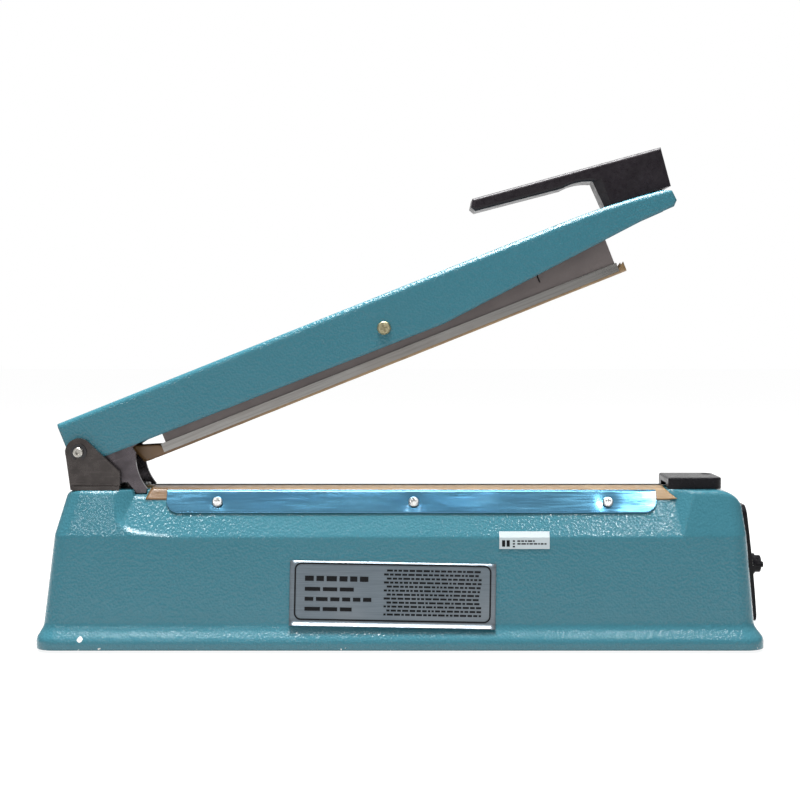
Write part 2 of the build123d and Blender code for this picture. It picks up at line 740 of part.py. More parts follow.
with BuildPart() as cord_grommet:
    x, z = cord_inlet
    disc(side_view(39.2, x, z), 8, 2.2)
    disc(side_view(38, x, z), grommet_radius - running_gap, 8)
    disc(side_view(31.8, x, z), 7.5, 2)
    fillet(edges().filter_by(GeomType.CIRCLE).group_by(Axis.Y)[-1], radius=0.8)
    disc(side_view(50, x, z), cord_radius, 30, mode=Mode.SUBTRACT)
pieces["cord_grommet"] = cord_grommet

# ---------------------------------------------------------------- labels

with BuildPart() as nameplate:
    with BuildSketch(wall_plane(0.3)):
        with Locations(Location((-4.5, 21.6, 0), (0, 0, -1.05))):
            RectangleRounded(126.7, 37.4, 1)
    extrude(amount=0.3)
pieces["nameplate"] = nameplate

with BuildPart() as inspection_label:
    fold_y, fold_z = down_slope(32.27, 0)
    low_y = fold_y + 7 * wall_lean
    with BuildSketch(facing_right(61.1)):
        jaw_profile(
            [
                down_slope(28.4, 0.12),
                down_slope(28.4, 0.37),
                (fold_y + 0.42, fold_z),
                (low_y + 0.42, fold_z - 7),
                (low_y + 0.17, fold_z - 7),
                (fold_y + 0.17, fold_z),
            ],
            -1,
        )
    extrude(amount=30.9)
pieces["inspection_label"] = inspection_label

# ---------------------------------------------------------------- arm

rear_x = -7
front_x = 402
pivot_screw_plane = Plane(
    on_arm(*carrier_pivot, -arm_half_width), x_dir=arm_side().x_dir, z_dir=(0, -1, 0)
)
handle_screw_planes = [arm_level(x, z, facing=-1) for x, z in ((371, 17.5), (388, 15.7))]


with BuildPart() as arm_cover:
    # The side, with its rear corner cut away round the hinge pin.
    with BuildSketch(arm_side(arm_half_width)):
        with BuildLine():
            Polyline((-4.9, 3.57), (rear_x, 4.4), (rear_x, arm_top), (335, arm_top))
            ThreePointArc((335, arm_top), (368, 20), (396, 17.2))
            Polyline((396, 17.2), (401.4, 14.6), (front_x, 8), (399, 5), (379, 4.2), (240, -9.8))
            Polyline((240, -9.8), (14, -8.4), (3, -8.4), (0, -5.8))
            ThreePointArc((0, -5.8), (-5.79, -0.3), (-4.9, 3.57))
        make_face()
    extrude(amount=2 * arm_half_width)
    top_edges = edges().filter_by(lambda edge: edge.length > 20 and abs(edge.center().Y) > 19)
    ridge = top_edges.filter_by(lambda edge: arm_side().to_local_coords(edge.center()).Y > 15)
    fillet(ridge, radius=3)
    with BuildSketch(arm_side(arm_half_width - arm_sheet)):
        with BuildLine():
            inside_top = arm_top - arm_sheet
            Polyline((-20, -40), (-20, inside_top), (335, inside_top))
            ThreePointArc((335, inside_top), (367, 18.5), (394, 15.8))
            Polyline((394, 15.8), (399.6, 13.6), (400.3, 8), (400.3, -40), (-20, -40))
        make_face()
    extrude(amount=2 * (arm_half_width - arm_sheet), mode=Mode.SUBTRACT)
    disc(arm_side(40), bush_radius + running_gap, 80, mode=Mode.SUBTRACT)
    screw_holes([pivot_screw_plane.offset(5)], m5, 80)
    screw_holes(handle_screw_planes, m4, 8)
pieces["arm_cover"] = arm_cover

with BuildPart() as lever_plates:
    for near_y in (-lever_inside, lever_outside):
        with BuildSketch(arm_side(near_y), mode=Mode.PRIVATE) as lever:
            with BuildLine():
                ThreePointArc((-1, 5.7), (-5.79, 0), (0, -5.79))
                Polyline((0, -5.79), (12, -23), (14.7, -28.2), (17.8, -27.6))
                Polyline((17.8, -27.6), (20.4, -28.8), (22.9, -37), (28.4, -39))
                Line((28.4, -39), (29.9, -36.7))
                ThreePointArc((29.9, -36.7), (28.5, -25), (32, -13.3))
                Polyline((32, -13.3), (31, -9.5), (40, -7.8), (40, 12), (20, 12), (-1, 5.7))
            make_face()
            Circle(bush_radius + running_gap, mode=Mode.SUBTRACT)
        extrude(lever.sketch, amount=lever_outside - lever_inside)
pieces["lever_plates"] = lever_plates

with BuildPart() as spring_anchor:
    with BuildSketch(arm_side(lever_inside)):
        with Locations((26, -3.9)):
            Circle(2)
    extrude(amount=2 * lever_inside)
pieces["spring_anchor"] = spring_anchor

with BuildPart() as pivot_bushes:
    for near_y in (-15.5, 20.1):
        disc(arm_side(near_y), bush_radius, 4.6, bore=pin_radius + running_gap)
pieces["pivot_bushes"] = pivot_bushes

# ---------------------------------------------------------------- handle

handle_half_width = 13
handle_wall = 2.6

with BuildPart() as handle:
    with BuildSketch(arm_side(handle_half_width)) as handle_side:
        with BuildLine():
            Polyline((284.3, 48.2), (282.6, 51.4), (285.6, 56), (406.3, 42.4), (403.6, 17.6))
            Polyline((403.6, 17.6), (397, 18.2), (360.6, 20.8), (359.6, 38))
            ThreePointArc((359.6, 38), (354, 40.2), (340, 41.2))
            Line((340, 41.2), (284.3, 48.2))
        make_face()
    extrude(amount=2 * handle_half_width)
    side_edges = edges().filter_by(lambda edge: abs(abs(edge.center().Y) - handle_half_width) < 0.01)
    fillet(side_edges.filter_by(lambda edge: arm_side().to_local_coords(edge.center()).Y > 22), radius=2.2)
    # The stem's rear corners are cut off below the blade.
    with BuildSketch(arm_level(0, 15), mode=Mode.PRIVATE) as stem_corners:
        for side in (-1, 1):
            Polygon((358, side * 6.4), (366.7, side * 15.1), (358, side * 15.1), align=None)
    extrude(stem_corners.sketch, amount=23.2, mode=Mode.SUBTRACT)
    # The stem is hollow from below, with two screw bosses in it.
    with BuildSketch(arm_side(handle_half_width - handle_wall)):
        with BuildLine():
            Polyline((366.4, 15), (365.6, 38), (401.6, 34), (400.8, 15), (366.4, 15))
        make_face()
    extrude(amount=2 * (handle_half_width - handle_wall), mode=Mode.SUBTRACT)
    for place in handle_screw_planes:
        disc(place.offset(-3.6), 4, -16)
    screw_holes(handle_screw_planes, m4, 14)
pieces["handle"] = handle

with BuildPart() as handle_screws:
    for place in handle_screw_planes:
        pan_screw(place, m4, 12)
pieces["handle_screws"] = handle_screws

# ---------------------------------------------------------------- upper jaw

carrier_sheet = 1.2
carrier_web = bar_top + carrier_sheet
bar_screw_places = (80, 204.5, 330)
bar_screw_planes = [arm_level(x, carrier_web) for x in bar_screw_places]

with BuildPart() as press_bar_carrier:
    inside = carrier_half_width - carrier_sheet
    with BuildSketch(arm_section(carrier_left)):
        Polygon(
            (-carrier_half_width, 7),
            (-carrier_half_width, bar_top),
            (carrier_half_width, bar_top),
            (carrier_half_width, 7),
            (inside, 7),
            (inside, carrier_web),
            (-inside, carrier_web),
            (-inside, 7),
            align=None,
        )
    extrude(amount=carrier_right - carrier_left)
    # The T-shaped slit in each wall near the front end.
    with BuildSketch(arm_side(20)):
        with Locations((306, -5)):
            Rectangle(0.9, 6)
        with Locations((306, -2)):
            Rectangle(4.5, 0.9)
    extrude(amount=40, mode=Mode.SUBTRACT)
    screw_holes(bar_screw_planes, m3, 3)
    with BuildSketch(arm_side(20)):
        with Locations(carrier_pivot):
            Circle(4 + running_gap)
    extrude(amount=40, mode=Mode.SUBTRACT)
pieces["press_bar_carrier"] = press_bar_carrier

with BuildPart() as carrier_bush:
    with BuildSketch(arm_side(18.2)):
        with Locations(carrier_pivot):
            Circle(4)
            Circle(m5[2] + running_gap, mode=Mode.SUBTRACT)
    extrude(amount=36.4)
pieces["carrier_bush"] = carrier_bush

with BuildPart() as carrier_screw:
    pan_screw(pivot_screw_plane, m5, 45)
pieces["carrier_screw"] = carrier_screw

with BuildPart() as carrier_nut:
    with BuildSketch(arm_side(arm_half_width + 4)):
        with Locations(carrier_pivot):
            RegularPolygon(4.6, 6)
            Circle(m5[2] + running_gap, mode=Mode.SUBTRACT)
    extrude(amount=4)
pieces["carrier_nut"] = carrier_nut

groove_half_width = 6.8
groove_top = -17.2

with BuildPart() as press_bar:
    with BuildSketch(arm_section(bar_left)):
        Polygon(
            (-bar_half_width, bar_top),
            (bar_half_width, bar_top),
            (bar_half_width, bar_bottom),
            (groove_half_width, bar_bottom),
            (groove_half_width, groove_top),
            (-groove_half_width, groove_top),
            (-groove_half_width, bar_bottom),
            (-bar_half_width, bar_bottom),
            align=None,
        )
    extrude(amount=bar_right - bar_left)
    screw_holes(bar_screw_planes, m3, 3.6)
pieces["press_bar"] = press_bar

with BuildPart() as bar_screws:
    for place in bar_screw_planes:
        pan_screw(place, m3, 3.4)
pieces["bar_screws"] = bar_screws

silicone_bottom = -21.1
silicone_half_width = 5.9

with BuildPart() as silicone_strip:
    with BuildSketch(arm_section(bar_left + 1)):
        with BuildLine():
            Polyline((-silicone_half_width, -20.6), (-silicone_half_width, groove_top), (silicone_half_width, groove_top))
            Line((silicone_half_width, groove_top), (silicone_half_width, -20.6))
            ThreePointArc((silicone_half_width, -20.6), (0, silicone_bottom), (-silicone_half_width, -20.6))
        make_face()
    extrude(amount=bar_right - bar_left - 2)
pieces["silicone_strip"] = silicone_strip

tail_left = 36
tail_right = 359.8
tail_notch_length = 6.4
tail_notch_half = m3[0] + 0.8

with BuildPart() as upper_cloth:
    half = silicone_half_width + 0.15
    with BuildSketch(arm_section(tail_left)):
        Polygon(
            (-half - cloth, groove_top - 0.3),
            (-half - cloth, silicone_bottom - 0.05 - cloth),
            (half + cloth, silicone_bottom - 0.05 - cloth),
            (half + cloth, groove_top - 0.3),
            (half, groove_top - 0.3),
            (half, silicone_bottom - 0.05),
            (-half, silicone_bottom - 0.05),
            (-half, groove_top - 0.3),
            align=None,
        )
    extrude(amount=tail_right - tail_left)
    # The rear tail is cut away underneath, so that it closes over the terminal screw's head.
    with BuildSketch(arm_section(tail_left)):
        with Locations((0, silicone_bottom)):
            Rectangle(2 * tail_notch_half, 4 * cloth)
    extrude(amount=tail_notch_length, mode=Mode.SUBTRACT)
pieces["upper_cloth"] = upper_cloth

for name, piece in pieces.items():
    piece.part.label = name
    export_step(piece.part, f"parts/{name}.step")
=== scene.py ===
import json
from math import atan2, cos, exp, pi, radians, sin
from random import Random

import bpy
from mathutils import Matrix, Vector, noise


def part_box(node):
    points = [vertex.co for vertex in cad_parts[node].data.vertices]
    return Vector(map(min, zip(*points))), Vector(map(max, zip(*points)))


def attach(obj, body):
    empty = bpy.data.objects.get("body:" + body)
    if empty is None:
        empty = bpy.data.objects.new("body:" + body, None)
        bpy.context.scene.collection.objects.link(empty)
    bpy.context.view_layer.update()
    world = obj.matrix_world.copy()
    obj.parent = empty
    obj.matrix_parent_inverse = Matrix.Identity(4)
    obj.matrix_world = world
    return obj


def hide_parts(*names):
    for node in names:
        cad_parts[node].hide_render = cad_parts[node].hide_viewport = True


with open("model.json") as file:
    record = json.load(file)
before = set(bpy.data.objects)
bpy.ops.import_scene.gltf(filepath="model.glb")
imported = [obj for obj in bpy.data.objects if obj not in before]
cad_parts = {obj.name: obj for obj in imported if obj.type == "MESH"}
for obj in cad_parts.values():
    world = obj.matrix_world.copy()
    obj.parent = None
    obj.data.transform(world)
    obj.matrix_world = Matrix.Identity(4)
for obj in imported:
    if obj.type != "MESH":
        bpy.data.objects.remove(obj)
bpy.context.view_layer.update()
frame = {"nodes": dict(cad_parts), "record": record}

MM = 0.001

# ---------------------------------------------------------------- where things are

OPEN_ANGLE = radians(21.7)
PIVOT = Vector((-0.1994, 0, 0.1221))
ARM_ALONG = Vector((cos(OPEN_ANGLE), 0, sin(OPEN_ANGLE)))
ARM_UP = Vector((-sin(OPEN_ANGLE), 0, cos(OPEN_ANGLE)))
SIDEWAYS = Vector((0, 1, 0))

TOP_Z = 98.5 * MM
PLATFORM_HALF = 18 * MM
# The recess slope runs from the platform's edge down to the wall.
SLOPE_ANGLE = atan2(28.1, 15.8)
WALL_LEAN = atan2(3.5, 55.7)


def on_arm(x, y, z):
    """A point of the arm, from distances in mm along, across and above the hinge pivot."""
    return PIVOT + ARM_ALONG * x * MM + SIDEWAYS * y * MM + ARM_UP * z * MM


def on_slope(side, drop, lift):
    """The y and z of a point on the recess slope, drop and lift in mm; side -1 is in front."""
    down = Vector((cos(SLOPE_ANGLE), -sin(SLOPE_ANGLE)))
    out = Vector((sin(SLOPE_ANGLE), cos(SLOPE_ANGLE)))
    place = Vector((PLATFORM_HALF, TOP_Z)) + down * drop * MM + out * lift * MM
    return side * place.x, place.y


# ---------------------------------------------------------------- materials


class Look:
    """A material being made: one Principled shader, with textures in the part's own coordinates."""

    def __init__(self, name, color, roughness, metallic=0.0, **sockets):
        self.material = bpy.data.materials.new(name)
        self.material.use_nodes = True
        self.tree = self.material.node_tree
        self.shader = self.tree.nodes["Principled BSDF"]
        self.shader.inputs["Base Color"].default_value = (*color, 1)
        self.shader.inputs["Roughness"].default_value = roughness
        self.shader.inputs["Metallic"].default_value = metallic
        for socket, value in sockets.items():
            self.shader.inputs[socket.replace("_", " ")].default_value = value
        self.coordinates = self.add("ShaderNodeTexCoord").outputs["Object"]

    def soften_edges(self, radius):
        """Shades edges as if they were rounded to this radius."""
        rounded = self.add("ShaderNodeBevel", samples=6)
        rounded.inputs["Radius"].default_value = radius
        self.link(rounded.outputs["Normal"], self.shader.inputs["Normal"])

    def near(self, place, radius):
        """1 inside a ragged spot round a place, and 0 outside it."""
        gap = self.add("ShaderNodeVectorMath", operation="DISTANCE")
        gap.inputs[1].default_value = place
        self.link(self.coordinates, gap.inputs[0])
        ragged = self.sum(gap.outputs["Value"], self.noise(radius, detail=3), radius)
        return self.between(ragged, 1.35 * radius, 1.5 * radius, 1, 0)

    def add(self, kind, **settings):
        node = self.tree.nodes.new(kind)
        for setting, value in settings.items():
            setattr(node, setting, value)
        return node

    def link(self, source, target):
        self.tree.links.new(source, target)

    def place(self, size, stretch, turn):
        """Coordinates in texture widths of size metres, drawn out along some axes."""
        mapping = self.add("ShaderNodeMapping")
        mapping.inputs["Rotation"].default_value = turn
        self.link(self.coordinates, mapping.inputs["Vector"])
        scaling = self.add("ShaderNodeVectorMath", operation="MULTIPLY")
        scaling.inputs[1].default_value = [1 / (size * s) for s in stretch]
        self.link(mapping.outputs["Vector"], scaling.inputs[0])
        return scaling.outputs["Vector"]

    def noise(self, size, detail=2.0, stretch=(1, 1, 1), turn=(0, 0, 0), roughness=0.5):
        node = self.add("ShaderNodeTexNoise")
        node.inputs["Scale"].default_value = 1
        node.inputs["Detail"].default_value = detail
        node.inputs["Roughness"].default_value = roughness
        self.link(self.place(size, stretch, turn), node.inputs["Vector"])
        return node.outputs["Fac"]

    def cells(self, size, smoothness=0.0, stretch=(1, 1, 1), turn=(0, 0, 0)):
        kind = "SMOOTH_F1" if smoothness else "F1"
        node = self.add("ShaderNodeTexVoronoi", feature=kind)
        node.inputs["Scale"].default_value = 1
        if smoothness:
            node.inputs["Smoothness"].default_value = smoothness
        self.link(self.place(size, stretch, turn), node.inputs["Vector"])
        return node.outputs["Distance"]

    def waves(self, size, axis, turn=(0, 0, 0)):
        node = self.add("ShaderNodeTexWave", bands_direction=axis)
        node.inputs["Scale"].default_value = 1
        self.link(self.place(size, (1, 1, 1), turn), node.inputs["Vector"])
        return node.outputs["Fac"]

    def sum(self, first, second, weight=1.0):
        node = self.add("ShaderNodeMath", operation="MULTIPLY_ADD")
        node.inputs[1].default_value = weight
        self.link(second, node.inputs[0])
        self.link(first, node.inputs[2])
        return node.outputs["Value"]

    def times(self, first, second):
        node = self.add("ShaderNodeMath", operation="MULTIPLY")
        self.link(first, node.inputs[0])
        self.link(second, node.inputs[1])
        return node.outputs["Value"]

    def between(self, source, low, high, to_low=0.0, to_high=1.0):
        """Maps low and high of a texture to two other values, with a smooth step."""
        node = self.add("ShaderNodeMapRange", interpolation_type="SMOOTHSTEP")
        values = (low, high, to_low, to_high)
        for socket, value in zip(("From Min", "From Max", "To Min", "To Max"), values):
            node.inputs[socket].default_value = value
        self.link(source, node.inputs["Value"])
        return node.outputs["Result"]

    def axis(self, name):
        node = self.add("ShaderNodeSeparateXYZ")
        self.link(self.coordinates, node.inputs["Vector"])
        return node.outputs[name]

    def tint(self, mask, color):
        """Mixes another colour over what there is, by a mask."""
        mixer = self.add("ShaderNodeMix", data_type="RGBA")
        target = self.shader.inputs["Base Color"]
        mixer.inputs["A"].default_value = target.default_value
        if target.links:
            self.link(target.links[0].from_socket, mixer.inputs["A"])
        mixer.inputs["B"].default_value = (*color, 1)
        self.link(mask, mixer.inputs["Factor"])
        self.link(mixer.outputs["Result"], target)

    def rough(self, mask, low, high):
        self.link(self.between(mask, 0.3, 0.7, low, high), self.shader.inputs["Roughness"])

    def bump(self, height, depth, strength=1.0):
        """Adds relief of a depth in metres over the relief there is."""
        node = self.add("ShaderNodeBump")
        node.inputs["Distance"].default_value = depth
        node.inputs["Strength"].default_value = strength
        self.link(height, node.inputs["Height"])
        target = self.shader.inputs["Normal"]
        if target.links:
            self.link(target.links[0].from_socket, node.inputs["Normal"])
        self.link(node.outputs["Normal"], target)


# Turns a texture so that it runs along the open arm.
ARM_TURN = (0, OPEN_ANGLE, 0)

PRIMER = (0.75, 0.74, 0.7)
# Chips on the foot of the base: where each one is and its radius, in metres.
CHIPS = (
    ((-0.1957, -0.0418, 0.0088), 1.9 * MM),
    ((0.0655, -0.0385, 0.0158), 0.7 * MM),
    ((0.0675, -0.041, 0.0115), 0.8 * MM),
)


def paint_look():
    """Teal stoving enamel with an orange-peel skin, painted shade in the hollows of its fine relief, and
    white primer where the rim is chipped.
    """
    look = Look("teal_enamel", (0.029, 0.133, 0.172), 0.1, Specular_IOR_Level=0.5)
    look.soften_edges(3 * MM)
    peel = look.cells(1.5 * MM, smoothness=0.7)
    fine = look.noise(0.9 * MM, detail=2)
    # Lighter on the crests of the fine relief and darker in its hollows: painted shade of the orange
    # peel.
    look.tint(look.between(fine, 0.35, 0.7, 0, 0.35), (0.05, 0.178, 0.222))
    look.tint(look.between(look.noise(60 * MM, detail=3), 0.35, 0.7, 0, 0.3), (0.027, 0.125, 0.16))
    look.rough(look.noise(9 * MM, detail=4), 0.06, 0.12)
    look.bump(peel, 0.3 * MM, 0.6)
    look.bump(fine, 0.1 * MM, 0.7)
    chips = look.between(look.noise(5 * MM, detail=3, roughness=0.7), 0.66, 0.69)
    low_rim = look.between(look.axis("Z"), 2.6 * MM, 4.4 * MM, 1, 0)
    look.tint(look.times(chips, low_rim), PRIMER)
    for place, radius in CHIPS:
        look.tint(look.near(place, radius), PRIMER)
    return look


def plated_look(name, color, roughness, size=3 * MM):
    """Bright plated or turned metal with fine marks and duller patches."""
    look = Look(name, color, roughness, 1.0)
    patches = look.noise(size, detail=5, roughness=0.6)
    look.tint(look.between(patches, 0.4, 0.75, 0, 0.45), [c * 0.62 for c in color])
    look.rough(patches, roughness * 0.8, roughness * 1.7)
    look.bump(look.noise(size / 9, detail=2), 0.02 * MM, 0.6)
    return look


def sheet_steel_look(name, color, roughness, turn=(0, 0, 0)):
    """Rolled and blackened sheet steel: streaks along the sheet, stains, and bright rubbed spots."""
    look = Look(name, color, roughness, 0.75)
    streaks = look.noise(1.2 * MM, detail=3, stretch=(14, 1, 1), turn=turn)
    stains = look.noise(14 * MM, detail=5, roughness=0.65)
    look.tint(look.between(stains, 0.42, 0.7, 0, 0.7), [c * 0.5 for c in color])
    look.tint(look.between(streaks, 0.55, 0.8, 0, 0.35), [min(1, c * 2.1) for c in color])
    look.rough(stains, roughness * 0.75, roughness * 1.3)
    look.bump(streaks, 0.03 * MM, 0.5)
    return look


def plastic_look(name, color, roughness, grain=0.7 * MM, relief=0.05 * MM, **sockets):
    """Moulded plastic with a fine grain and slightly uneven gloss."""
    look = Look(name, color, roughness, **sockets)
    uneven = look.noise(12 * MM, detail=4)
    look.tint(look.between(uneven, 0.35, 0.7, 0, 0.5), [min(1, c * 1.5 + 0.002) for c in color])
    look.rough(look.noise(3 * MM, detail=5), roughness * 0.75, roughness * 1.3)
    look.bump(look.noise(grain, detail=2), relief, 0.7)
    return look


def cloth_look():
    """Brown glass cloth coated in PTFE: a plain weave, a satin skin, scorching on the seal line, and
    painted shade towards the left end.
    """
    look = Look("coated_glass_cloth", (0.26, 0.165, 0.075), 0.36, Coat_Weight=0.25, Coat_Roughness=0.2)
    warp = look.waves(1.6 * MM, "X", ARM_TURN)
    weft = look.waves(1.6 * MM, "Y")
    weave = look.sum(warp, weft)
    look.tint(look.between(weave, 0.4, 1.6, 0, 0.45), (0.17, 0.1, 0.042))
    look.tint(look.between(look.noise(22 * MM, detail=4), 0.4, 0.7, 0, 0.5), (0.36, 0.25, 0.13))
    # Darker towards the left end of both cloths: painted shade where the cloth catches less sheen from
    # the lamps.
    painted_shade_left = look.between(look.axis("X"), -0.15, -0.06, 0.95, 0)
    look.tint(painted_shade_left, (0.15, 0.082, 0.033))
    across = look.add("ShaderNodeMath", operation="ABSOLUTE")
    look.link(look.axis("Y"), across.inputs[0])
    line = look.between(across.outputs["Value"], 1 * MM, 3.2 * MM, 0.55, 0)
    look.tint(line, (0.12, 0.055, 0.022))
    look.rough(look.noise(4 * MM, detail=3), 0.3, 0.5)
    look.bump(weave, 0.05 * MM, 0.6)
    look.bump(look.noise(9 * MM, detail=2), 0.4 * MM, 0.4)
    return look


def blue_film_look():
    """Aluminium strip under its blue protective film, with ripples along it and small scratches."""
    blue = (0.066, 0.215, 0.335)
    look = Look("blue_filmed_aluminium", blue, 0.2, 0.8, Coat_Weight=0.5, Coat_Roughness=0.06)
    ripples = look.noise(26 * MM, detail=2, stretch=(2.2, 0.5, 0.5))
    scratches = look.noise(1.1 * MM, detail=3, stretch=(18, 1, 1))
    creases = look.cells(30 * MM, stretch=(1.5, 0.5, 0.5))
    look.tint(look.between(ripples, 0.4, 0.68, 0, 0.45), (0.045, 0.18, 0.33))
    look.tint(look.between(scratches, 0.66, 0.8, 0, 0.5), (0.3, 0.55, 0.7))
    look.rough(scratches, 0.09, 0.19)
    look.bump(ripples, 0.5 * MM, 0.3)
    look.bump(creases, 0.2 * MM, 0.2)
    look.bump(scratches, 0.02 * MM, 0.5)
    return look


def aluminium_look():
    """Extruded aluminium: drawn lines along the bar and dull rubbed patches."""
    look = Look("extruded_aluminium", (0.36, 0.35, 0.335), 0.3, 1.0)
    lines = look.noise(0.7 * MM, detail=3, stretch=(60, 1, 1), turn=ARM_TURN)
    patches = look.noise(30 * MM, detail=5, stretch=(2, 1, 1), turn=ARM_TURN)
    look.tint(look.between(lines, 0.4, 0.7, 0, 0.5), (0.22, 0.21, 0.2))
    look.tint(look.between(patches, 0.45, 0.7, 0, 0.4), (0.2, 0.175, 0.155))
    look.rough(patches, 0.22, 0.42)
    look.bump(lines, 0.05 * MM, 0.5)
    return look


def carrier_look():
    """Grey painted sheet of the bar's carrier, faintly rippled."""
    look = Look("carrier_grey", (0.17, 0.145, 0.14), 0.42, 0.35)
    look.tint(look.between(look.noise(40 * MM, detail=4), 0.4, 0.7, 0, 0.5), (0.12, 0.1, 0.098))
    look.rough(look.noise(6 * MM, detail=4), 0.34, 0.52)
    look.bump(look.noise(1.1 * MM, detail=2), 0.06 * MM, 0.5)
    return look


def foil_look():
    """Brushed foil of the rating plate."""
    look = Look("brushed_foil", (0.15, 0.182, 0.208), 0.34, 0.7)
    brushing = look.noise(0.5 * MM, detail=3, stretch=(40, 1, 1))
    look.tint(look.between(brushing, 0.35, 0.7, 0, 0.5), (0.1, 0.122, 0.142))
    look.tint(look.between(look.noise(45 * MM, detail=2), 0.4, 0.65, 0, 0.4), (0.2, 0.22, 0.24))
    look.rough(brushing, 0.28, 0.42)
    look.bump(brushing, 0.03 * MM, 0.4)
    look.bump(look.noise(14 * MM, detail=2), 0.25 * MM, 0.3)
    return look


def paper_look():
    """Matt coated paper of the small sticker."""
    look = Look("label_paper", (0.38, 0.435, 0.455), 0.45, Coat_Weight=0.2)
    look.tint(look.between(look.noise(8 * MM, detail=5), 0.4, 0.7, 0, 0.4), (0.41, 0.47, 0.49))
    look.bump(look.noise(0.6 * MM, detail=3), 0.02 * MM, 0.5)
    return look


def rubber_look():
    """Black rubber of the feet, with paler dust on it."""
    look = plastic_look("moulded_rubber", (0.014, 0.014, 0.015), 0.75, 1.2 * MM, 0.08 * MM)
    look.tint(look.between(look.noise(5 * MM, detail=6), 0.55, 0.75, 0, 0.6), (0.06, 0.058, 0.052))
    return look


def zinc_look():
    """Zinc-plated sheet with pale flakes of spangle."""
    look = Look("zinc_plate", (0.55, 0.57, 0.58), 0.36, 1.0)
    spangle = look.cells(7 * MM)
    look.tint(look.between(spangle, 0.2, 0.8, 0, 0.5), (0.4, 0.42, 0.44))
    look.rough(look.noise(5 * MM, detail=4), 0.28, 0.48)
    look.bump(look.noise(1 * MM, detail=3), 0.02 * MM, 0.5)
    return look


def lamination_look():
    """Stacked steel sheets of the transformer's core."""
    look = Look("core_laminations", (0.2, 0.19, 0.185), 0.45, 0.8)
    layers = look.waves(1.6 * MM, "Y")
    look.tint(look.between(layers, 0.2, 0.8, 0, 0.6), (0.09, 0.085, 0.08))
    look.bump(layers, 0.1 * MM)
    return look


def winding_look():
    """Yellow tape wound round the coil."""
    look = Look("winding_tape", (0.62, 0.42, 0.07), 0.4, Coat_Weight=0.4)
    bands = look.waves(12 * MM, "Z")
    look.tint(look.between(bands, 0.8, 1, 0, 0.6), (0.35, 0.22, 0.04))
    look.bump(look.noise(4 * MM, detail=3, stretch=(3, 3, 1)), 0.2 * MM, 0.5)
    return look


def board_look():
    """Green solder mask with copper tracks showing through."""
    look = Look("circuit_board", (0.02, 0.14, 0.06), 0.3, Coat_Weight=0.5)
    tracks = look.cells(6 * MM, stretch=(2.5, 1, 1))
    look.tint(look.between(tracks, 0.4, 0.46, 0, 0.6), (0.06, 0.26, 0.1))
    look.bump(tracks, 0.05 * MM, 0.5)
    return look


def silicone_look():
    """Red-brown silicone rubber under the press bar."""
    look = plastic_look("silicone_rubber", (0.42, 0.09, 0.04), 0.55, 0.9 * MM, 0.04 * MM)
    look.tint(look.between(look.noise(10 * MM, detail=3), 0.4, 0.7, 0, 0.4), (0.3, 0.055, 0.025))
    return look


def lens_look():
    """Clear lens of the neon lamp over its pale diffuser."""
    look = Look("lamp_lens", (0.75, 0.68, 0.62), 0.12, Coat_Weight=1.0, Coat_Roughness=0.03)
    rings = look.waves(1.1 * MM, "Z")
    look.tint(look.between(rings, 0.3, 0.8, 0, 0.45), (0.5, 0.36, 0.28))
    look.bump(rings, 0.1 * MM, 0.5)
    return look


def insulator_look():
    """Brown mica paper under the element."""
    look = Look("mica_paper", (0.28, 0.19, 0.11), 0.5)
    flakes = look.cells(5 * MM, stretch=(2, 1, 1))
    look.tint(look.between(flakes, 0.1, 0.6, 0, 0.6), (0.4, 0.3, 0.2))
    look.bump(flakes, 0.05 * MM, 0.5)
    return look


LOOKS = {
    "teal_paint": paint_look(),
    "zinc_sheet": zinc_look(),
    "foot_rubber": rubber_look(),
    "screw_steel": plated_look("nickel_screw", (0.5, 0.5, 0.49), 0.24),
    "dark_screw": plated_look("blackened_screw", (0.06, 0.058, 0.06), 0.35),
    "brass_plated_screw": plated_look("yellow_passivated_screw", (0.42, 0.38, 0.24), 0.34, 2 * MM),
    "bracket_steel": sheet_steel_look("blackened_bracket", (0.07, 0.061, 0.058), 0.26),
    "lever_steel": sheet_steel_look("blued_lever", (0.1, 0.087, 0.095), 0.28, ARM_TURN),
    "pin_steel": plated_look("ground_pin", (0.5, 0.48, 0.44), 0.25, 2 * MM),
    "spring_steel": plated_look("spring_wire", (0.32, 0.31, 0.3), 0.3, 2 * MM),
    "insulator": insulator_look(),
    "nichrome": plated_look("nichrome_ribbon", (0.45, 0.42, 0.38), 0.32),
    "terminal_brass": plated_look("brass", (0.62, 0.44, 0.18), 0.28),
    "ptfe_cloth": cloth_look(),
    "blue_film": blue_film_look(),
    "black_plastic": plastic_look(
        "black_gloss_plastic", (0.006, 0.0055, 0.007), 0.24, Specular_IOR_Level=0.13
    ),
    "handle_plastic": plastic_look(
        "handle_plastic", (0.011, 0.0085, 0.011), 0.33, 0.9 * MM, 0.06 * MM, Specular_IOR_Level=0.22
    ),
    "lamp_lens": lens_look(),
    "lamination_steel": lamination_look(),
    "winding": winding_look(),
    "board": board_look(),
    "relay_plastic": plastic_look("relay_plastic", (0.03, 0.05, 0.09), 0.35),
    "plunger_plastic": plastic_look("plunger_plastic", (0.55, 0.06, 0.04), 0.3),
    "plate_foil": foil_look(),
    "white_label": paper_look(),
    "carrier_steel": carrier_look(),
    "bar_aluminium": aluminium_look(),
    "silicone": silicone_look(),
}

for part in frame["record"]["subparts"]:
    node = frame["nodes"][part["node"]]
    finish = LOOKS[part["material_slot"]].material
    if node.material_slots:
        for material_slot in node.material_slots:
            material_slot.material = finish
    else:
        node.data.materials.append(finish)

